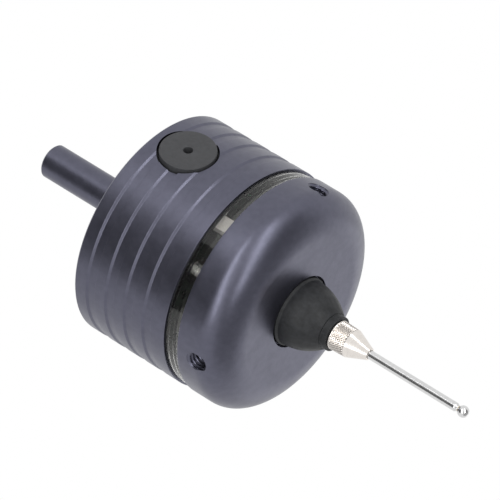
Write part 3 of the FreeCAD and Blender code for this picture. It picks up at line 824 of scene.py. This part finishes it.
def build_buzzer(sizes):
    """The round buzzer with its sound hole."""
    radius, face, rear = BUZZER_HIGH.x, -BUZZER_LOW.y, -BUZZER_HIGH.y
    section = [
        (0, face - sizes.sound_depth),
        (sizes.sound_hole, face - sizes.sound_depth),
        (sizes.sound_hole, face),
        (radius, face),
        (radius, rear),
        (0, rear),
    ]
    puck = revolved("buzzer_puck", eased(section, sizes.buzzer_edge), 160)
    return weighted(facing_buzzer(puck))


def build_sleeve():
    """The rubber sleeve round the buzzer, set in from the surface."""
    inner, outer = BUZZER_HIGH.x + RUNNING_GAP, SLEEVE_HIGH.x
    face, rear = -SLEEVE_LOW.y, -SLEEVE_HIGH.y
    section = [(inner, face), (outer, face), (outer, rear), (inner, rear)]
    return facing_buzzer(revolved("rubber_sleeve", eased(section, 0.06 * MM), 128))


# Rubber boot

def arc_through(start, middle, end, steps):
    """Points on the round arc through three points of a section."""
    (ax, ay), (bx, by), (cx, cy) = start, middle, end
    spread = 2 * (ax * (by - cy) + bx * (cy - ay) + cx * (ay - by))
    a, b, c = ax * ax + ay * ay, bx * bx + by * by, cx * cx + cy * cy
    centre = Vector(
        (
            (a * (by - cy) + b * (cy - ay) + c * (ay - by)) / spread,
            (a * (cx - bx) + b * (ax - cx) + c * (bx - ax)) / spread,
        )
    )
    first, last = Vector(start) - centre, Vector(end) - centre
    low, high = math.atan2(first.y, first.x), math.atan2(last.y, last.x)
    turns = [low + (high - low) * n / steps for n in range(steps + 1)]
    return [
        (centre.x + first.length * math.cos(a), centre.y + first.length * math.sin(a))
        for a in turns
    ]


def between(section, low, high):
    """The part of a closed section between two heights."""
    kept = []
    for start, end in zip(section, [*section[1:], section[0]]):
        for level in sorted((low, high), reverse=start[1] > end[1]):
            if min(start[1], end[1]) < level < max(start[1], end[1]):
                share = (level - start[1]) / (end[1] - start[1])
                kept.append((start[0] + share * (end[0] - start[0]), level))
        if low <= end[1] <= high:
            kept.append(end)
    return kept


def boot_section(sizes):
    """The closed section of the bell, its flange and its neck bead."""
    face, top, foot = CAP_LOW.z, BOOT_HIGH.z, BOOT_LOW.z
    shoulder = face - sizes.drop
    edge = (BOOT_HIGH.x - sizes.edge, face - sizes.edge)
    crown = (sizes.crown_radius, face - sizes.crown_drop)
    brim = (sizes.shoulder_radius, shoulder)
    inner_brim = (sizes.neck_bore + RUNNING_GAP, shoulder + sizes.wall)
    inner_crown = (sizes.crown_radius - sizes.wall, crown[1])
    inner_edge = (edge[0] - sizes.wall, edge[1])
    corners = [
        (sizes.flange_bore, top),
        (BOOT_HIGH.x, top),
        (BOOT_HIGH.x, face),
        *arc_through(edge, crown, brim, 60),
        (sizes.neck_radius, shoulder),
        (sizes.neck_radius, foot),
        (sizes.neck_bore, foot),
        (sizes.neck_bore, shoulder + sizes.wall),
        *arc_through(inner_brim, inner_crown, inner_edge, 30),
        (sizes.flange_bore, face),
    ]
    return eased(corners, 0.15 * MM, 4)


def boot_zones(sizes):
    """Name, lowest and highest level and pair of bodies for each zone of the bell."""
    face = CAP_LOW.z
    levels = [BOOT_HIGH.z, *[face - drop for drop in (sizes.lift_zone, sizes.tilt_zone)], BOOT_LOW.z]
    bodies = ["body", "plunger", "pivot_ball", "stylus"]
    names = ["boot_base", "boot_crown", "boot_neck"]
    return [(names[n], levels[n + 1], levels[n], bodies[n : n + 2]) for n in range(3)]


# Chuck and stylus

def knurl_height(around_share, down_share):
    """Height of a diamond knurl, 0 in the valleys and 1 on the flattened tips."""
    rising = 1 - abs(2 * ((around_share + down_share) % 1.0) - 1)
    falling = 1 - abs(2 * ((around_share - down_share) % 1.0) - 1)
    return min(1.0, 1.25 * min(rising, falling))


def grip_rings(sizes, steps):
    """Rings of the knurled grip from its chamfer down."""
    top = COLLAR_HIGH.z
    rows = round(sizes.grip / sizes.knurl_rows * KNURL_CELLS)
    rings = []
    for row in range(rows + 1):
        share = row / rows
        height = top - sizes.chamfer + (sizes.chamfer - sizes.grip) * share
        surface = sizes.top_radius + (sizes.foot_radius - sizes.top_radius) * share
        fade = min(1.0, share * 12, (1 - share) * 12)
        ring = []
        for n in range(steps):
            tip = knurl_height(n / KNURL_CELLS, row / KNURL_CELLS)
            depth = sizes.knurl_depth * (1 - tip) * fade
            ring.append(point_on(surface - depth, FULL_TURN * n / steps, height))
        rings.append(ring)
    return rings


def build_knurled_nut(sizes):
    """The chuck nut: diamond-knurled grip, smooth cone and stepped bore."""
    steps = sizes.knurls * KNURL_CELLS
    top, foot = COLLAR_HIGH.z, COLLAR_LOW.z
    seat_top, seat_foot = top - sizes.spigot_drop, foot + sizes.nose_land
    cone_top = top - sizes.grip
    cone = []
    for n in range(1, 12):
        share = n / 12
        cone.append(
            (
                sizes.foot_radius + (sizes.nose_radius - sizes.foot_radius) * share,
                cone_top + (foot - cone_top) * share,
            )
        )
    ease = 0.06 * MM
    tail = [
        *cone,
        (sizes.nose_radius + 0.4 * ease, foot + ease),
        (sizes.nose_radius - ease, foot),
        (sizes.rod_hole, foot),
        (sizes.rod_hole, seat_foot),
        (sizes.seat_foot, seat_foot),
        (sizes.seat_top, seat_top),
        (sizes.bore, seat_top),
        (sizes.bore, top),
        (sizes.top_radius - sizes.chamfer, top),
    ]
    rings = grip_rings(sizes, steps) + [ring_at(*corner, steps) for corner in tail]
    return weighted(skinned("knurled_nut", rings, math.radians(20), True))


def build_rod(sizes):
    """The stylus rod with its tapered neck."""
    top, foot = ROD_HIGH.z, ROD_LOW.z
    neck = [
        (
            sizes.neck_radius
            + (sizes.rod_radius - sizes.neck_radius) * (1 - math.cos(math.pi * n / 8)) / 2,
            foot + sizes.neck_length * n / 8,
        )
        for n in range(8, -1, -1)
    ]
    section = [(0, top), (sizes.rod_radius, top), *neck, (0, foot)]
    return weighted(revolved("stylus_pin", eased(section, 0.03 * MM), 64))


def build_ball(sizes):
    """The polished ball, cut flat where the rod is brazed on."""
    centre = BALL_LOW.z + sizes.ball_radius
    start = math.asin(min(1.0, (ROD_LOW.z - centre) / sizes.ball_radius))
    turns = [start - (start + math.pi / 2) * n / 48 for n in range(49)]
    reach = sizes.ball_radius
    arc = [(reach * math.cos(a), centre + reach * math.sin(a)) for a in turns]
    section = [(0, ROD_LOW.z), *arc[:-1], (0, BALL_LOW.z)]
    return weighted(revolved("measuring_ball", section, 96))


def build_braze(sizes):
    """The small fillet of braze between the rod and the ball."""
    foot, radius = ROD_LOW.z, sizes.neck_radius
    centre = BALL_LOW.z + sizes.ball_radius
    low = foot - 0.1 * MM
    outer = math.sqrt(sizes.ball_radius**2 - (low - centre) ** 2) + 0.01 * MM
    height = 0.16 * MM
    curve = [
        (
            radius + 0.005 * MM + (outer - radius) * (1 - math.sin(math.radians(90) * n / 6)),
            foot + height * (1 - math.cos(math.radians(90) * n / 6)) - 0.1 * MM * (1 - n / 6),
        )
        for n in range(6, -1, -1)
    ]
    section = [(radius - 0.03 * MM, foot + height), *curve, (radius - 0.03 * MM, low)]
    return revolved("braze_fillet", section, 64)


# Inside

def build_soft_ring(node, name, inner):
    """A soft ring with a rounded edge that stands for a node of the frame."""
    low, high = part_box(node)
    section = [(inner, high.z), (high.x, high.z), (high.x, low.z), (inner, low.z)]
    return revolved(name, eased(section, 0.2 * MM), 96)


def build_spring():
    """The compression spring, wound round its own axis."""
    low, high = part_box("spring")
    wire = SPRING_WIRE / 2
    coil = high.x - wire
    turns, steps, sides = 4.5, 48, 10
    count = round(turns * steps)
    rings = [[(coil, 0, low.z + wire)]]
    for n in range(count + 1):
        angle = FULL_TURN * turns * n / count
        height = low.z + wire + (high.z - low.z - 2 * wire) * n / count
        ring = []
        for side in range(sides):
            spin = FULL_TURN * side / sides
            reach = coil + wire * math.cos(spin)
            ring.append(point_on(reach, angle, height + wire * math.sin(spin)))
        rings.append(ring)
    rings.append([point_on(coil, FULL_TURN * turns, high.z - wire)])
    spring = skinned("lift_spring", rings)
    settled(spring, "body", ground_steel, "steel", "spring")
    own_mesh(spring)


INSIDE = {
    turned_plastic: ("seat_ring", "spring_tube"),
    black_plastic: ("control_chip", "resistors", "cell_holder", "cell_cover"),
    ground_steel: (
        "shank_screws",
        "guide_screws",
        "plunger",
        "pivot_ball",
        "swivel_stem",
        "tie_nuts",
        "cell_1",
        "cell_2",
        "cell_3",
    ),
    blackened_steel: ("set_screws",),
    turned_brass: ("adjusting_plug", "contact_tab"),
    plated: ("collet", "lower_contacts", "upper_contacts"),
    board_lacquer: ("circuit_board",),
    milky_plastic: ("leds",),
    lead_sheath: ("buzzer_leads",),
}


# Operators

class PieceOperator(bpy.types.Operator):
    """Makes one piece of the edge finder."""

    bl_idname = "edge_finder.piece"
    bl_label = "Piece"
    bl_options = {"REGISTER", "UNDO"}

    def execute(self, context):
        """Makes the piece."""
        self.make(context.scene)
        return {"FINISHED"}

    def make(self, scene):
        """The piece's own making."""
        raise NotImplementedError(self.bl_idname)


class MakeShank(PieceOperator):
    """Turns the shank."""

    bl_idname = "edge_finder.shank"
    bl_label = "Shank"

    def make(self, scene):
        """The shank alone."""
        settled(build_shank(scene.edge_finder_body), "body", anodised, "anodised", "shank")


class MakeHousing(PieceOperator):
    """Turns the grooved housing."""

    bl_idname = "edge_finder.housing"
    bl_label = "Housing"

    def make(self, scene):
        """The housing with its window."""
        shell = build_housing(scene.edge_finder_body, scene.edge_finder_cap)
        settled(shell, "body", anodised, "anodised", "housing")


class MakeCap(PieceOperator):
    """Turns the cap and cuts its threads."""

    bl_idname = "edge_finder.cap"
    bl_label = "Cap"

    def make(self, scene):
        """The cap with its holes."""
        settled(build_cap(scene.edge_finder_cap), "body", anodised, "anodised", "cap")


class MakeLightRing(PieceOperator):
    """Makes the clear ring and its gasket."""

    bl_idname = "edge_finder.light_ring"
    bl_label = "Light ring"

    def make(self, scene):
        """The clear ring, then the gasket."""
        sizes, ease = scene.edge_finder_cap, scene.edge_finder_body.edge_ease
        ring = build_clear_ring(sizes, ease)
        settled(ring, "body", clear_plastic, "clear_plastic", "light_ring")
        settled(build_gasket(sizes, ease / 2), "body", black_rubber, "rubber", "ring_gasket")


class MakeStuds(PieceOperator):
    """Cuts the tie studs."""

    bl_idname = "edge_finder.studs"
    bl_label = "Tie studs"

    def make(self, scene):
        """The three studs as one piece."""
        settled(build_studs(scene.edge_finder_cap), "body", ground_steel, "steel", "tie_studs")


class MakeBuzzer(PieceOperator):
    """Makes the buzzer and its rubber sleeve."""

    bl_idname = "edge_finder.buzzer"
    bl_label = "Buzzer"

    def make(self, scene):
        """The buzzer, then the sleeve."""
        puck = build_buzzer(scene.edge_finder_body)
        settled(puck, "body", buzzer_plastic, "buzzer_case", "buzzer")
        settled(build_sleeve(), "body", black_rubber, "rubber", "buzzer_sleeve")


class MakeBoot(PieceOperator):
    """Moulds the rubber boot in three zones, one across each joint."""

    bl_idname = "edge_finder.boot"
    bl_label = "Boot"

    def make(self, scene):
        """Each zone, turned from its slice of the section and given its finish."""
        sizes = scene.edge_finder_boot
        section = boot_section(sizes)
        for name, low, high, bodies in boot_zones(sizes):
            zone = revolved(name, between(section, low, high), 160)
            zone.data.materials.append(finish(black_rubber))
            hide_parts("boot")
            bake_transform(zone)


class MakeChuck(PieceOperator):
    """Turns and knurls the chuck nut."""

    bl_idname = "edge_finder.chuck"
    bl_label = "Chuck nut"

    def make(self, scene):
        """The nut alone; the collet in it stays as it is."""
        nut = build_knurled_nut(scene.edge_finder_chuck)
        settled(nut, "stylus", plated, "nickel", "knurled_collar")


class MakeStylus(PieceOperator):
    """Makes the stylus rod, its ball and the braze between them."""

    bl_idname = "edge_finder.stylus"
    bl_label = "Stylus"

    def make(self, scene):
        """The rod, the ball and the fillet."""
        sizes = scene.edge_finder_chuck
        settled(build_rod(sizes), "stylus", ground_steel, "steel", "stylus_rod")
        settled(build_ball(sizes), "stylus", ground_steel, "steel", "tip_ball")
        settled(build_braze(sizes), "stylus", turned_brass, "brass", "stylus_rod")


class DressInside(PieceOperator):
    """Gives the pieces inside their finishes."""

    bl_idname = "edge_finder.inside"
    bl_label = "Inside"

    def make(self, scene):
        """Finishes and softened edges for the nodes of the frame that stay."""
        for maker, nodes in INSIDE.items():
            dressed(maker, *nodes)
        softened(0.08 * MM, "leds", "control_chip", "resistors")
        build_spring()
        cushion = build_soft_ring("centring_ring", "soft_cushion", 3.2 * MM)
        settled(cushion, "plunger", black_rubber, "rubber", "centring_ring")


# Studio

def camera_axes(studio):
    """Right, up and back of the camera, as the columns of a matrix."""
    azimuth, elevation = math.radians(studio.azimuth), math.radians(studio.elevation)
    back = Vector(point_on(math.cos(elevation), azimuth, math.sin(elevation)))
    level = Vector((-math.sin(azimuth), math.cos(azimuth), 0))
    turned = Matrix.Rotation(math.radians(studio.roll), 3, back)
    right = turned @ level
    return Matrix((right, back.cross(right), back)).transposed()


def facing_aim(studio, direction, distance, upright=(0, 1, 0)):
    """Where a lamp or a card stands and how it turns, for a direction seen from the camera."""
    axes = camera_axes(studio)
    back = (axes @ Vector(direction)).normalized()
    right = (axes @ Vector(upright)).cross(back).normalized()
    turned = Matrix((right, back.cross(right), back)).transposed().to_4x4()
    return Matrix.Translation(Vector(studio.aim) + back * distance) @ turned


def add_camera(studio):
    """The camera that frames the edge finder."""
    camera = bpy.data.cameras.new("camera")
    camera.lens = studio.lens
    camera.sensor_width = 36
    camera.clip_start = 0.01
    camera.clip_end = 50
    holder = bpy.data.objects.new("camera", camera)
    axes = camera_axes(studio)
    place = Vector(studio.aim) + axes.col[2] * studio.distance
    holder.matrix_world = Matrix.Translation(place) @ axes.to_4x4()
    bpy.context.scene.collection.objects.link(holder)
    bpy.context.scene.camera = holder


def add_lamp(studio, name, direction, distance, width, height, power):
    """A soft lamp that the camera doesn't see."""
    lamp = bpy.data.lights.new(name, "AREA")
    lamp.shape = "RECTANGLE"
    lamp.size = width
    lamp.size_y = height
    lamp.energy = power
    holder = bpy.data.objects.new(name, lamp)
    holder.matrix_world = facing_aim(studio, direction, distance)
    holder.visible_camera = False
    bpy.context.scene.collection.objects.link(holder)


def add_card(studio, name, direction, distance, width, height, maker):
    """A card at the side that darkens what the metal mirrors."""
    corners = [(-width, -height, 0), (width, -height, 0), (width, height, 0), (-width, height, 0)]
    card = new_piece(name, [tuple(n / 2 for n in corner) for corner in corners], [(0, 1, 2, 3)])
    card.matrix_world = facing_aim(studio, direction, distance)
    card.data.materials.append(finish(maker))
    card.visible_camera = False


def add_floor(studio):
    """The plain pale floor."""
    reach = 1.6
    level = studio.floor_level
    corners = [(-reach, -reach), (reach, -reach), (reach, reach), (-reach, reach)]
    floor = new_piece("floor", [(*corner, level) for corner in corners], [(0, 1, 2, 3)])
    floor.data.materials.append(finish(pale_floor))


def add_room(studio):
    """White surroundings for the eye, for metal and for glass, and a plainer light for the rest."""
    world = bpy.data.worlds.new("room")
    bpy.context.scene.world = world
    world.use_nodes = True
    tree = world.node_tree
    background = tree.nodes["Background"]
    background.inputs["Color"].default_value = (1.0, 1.0, 1.0, 1.0)
    path = tree.nodes.new("ShaderNodeLightPath")
    seen = path.outputs["Is Camera Ray"]
    for ray in ("Is Glossy Ray", "Is Transmission Ray"):
        either = tree.nodes.new("ShaderNodeMath")
        either.operation = "MAXIMUM"
        tree.links.new(seen, either.inputs[0])
        tree.links.new(path.outputs[ray], either.inputs[1])
        seen = either.outputs["Value"]
    level = tree.nodes.new("ShaderNodeMapRange")
    level.inputs["To Min"].default_value = studio.room_light
    tree.links.new(seen, level.inputs["Value"])
    tree.links.new(level.outputs["Result"], background.inputs["Strength"])


class SetStage(PieceOperator):
    """Sets up the camera, the lamps, the cards and the floor."""

    bl_idname = "edge_finder.stage"
    bl_label = "Stage"

    def make(self, scene):
        """The plain studio."""
        studio = scene.edge_finder_studio
        scene.view_settings.view_transform = "Standard"
        add_camera(studio)
        add_room(studio)
        add_floor(studio)
        add_lamp(studio, "right_strip", (0.47, 0.15, 0.87), 0.8, 0.12, 1.3, studio.strip_light)
        add_lamp(studio, "left_strip", (-0.47, 0.15, 0.87), 0.8, 0.12, 1.3, studio.strip_light)
        add_lamp(studio, "face_light", (0.71, -0.43, -0.56), 1.0, 0.8, 0.8, studio.face_light)
        add_card(studio, "left_card", (-0.87, 0.1, 0.45), 0.45, 0.5, 0.46, dark_card)
        add_card(studio, "right_card", (0.9, 0.1, 0.4), 0.6, 0.3, 0.5, grey_card)


class EdgeFinderPanel(bpy.types.Panel):
    """Lists the sizes, the colours and the pieces."""

    bl_idname = "VIEW3D_PT_edge_finder"
    bl_label = "Touch Edge Finder"
    bl_space_type = "VIEW_3D"
    bl_region_type = "UI"
    bl_category = "Edge Finder"

    def draw(self, context):
        """A box for each group of properties, then a button for each piece."""
        for name, group in GROUPS.items():
            values = getattr(context.scene, name)
            box = self.layout.box()
            box.label(text=group.__doc__)
            for key in group.__annotations__:
                box.prop(values, key)
        for operator in OPERATORS:
            self.layout.operator(operator.bl_idname)


GROUPS = {
    "edge_finder_body": BodySizes,
    "edge_finder_cap": CapSizes,
    "edge_finder_boot": BootSizes,
    "edge_finder_chuck": ChuckSizes,
    "edge_finder_colours": FinishColours,
    "edge_finder_studio": StudioSizes,
}
OPERATORS = (
    SetStage,
    MakeShank,
    MakeHousing,
    MakeCap,
    MakeLightRing,
    MakeStuds,
    MakeBuzzer,
    MakeBoot,
    MakeChuck,
    MakeStylus,
    DressInside,
)


def register():
    """Adds the classes and the scene's groups of properties."""
    for part in (*GROUPS.values(), *OPERATORS, EdgeFinderPanel):
        bpy.utils.register_class(part)
    for name, group in GROUPS.items():
        setattr(bpy.types.Scene, name, PointerProperty(type=group))


def unregister():
    """Takes them away again."""
    for name in GROUPS:
        delattr(bpy.types.Scene, name)
    for part in (EdgeFinderPanel, *reversed(OPERATORS), *reversed(GROUPS.values())):
        bpy.utils.unregister_class(part)


def main():
    """Makes every piece in order."""
    register()
    for operator in OPERATORS:
        getattr(bpy.ops.edge_finder, operator.bl_idname.split(".")[1])()


if __name__ == "__main__":
    main()
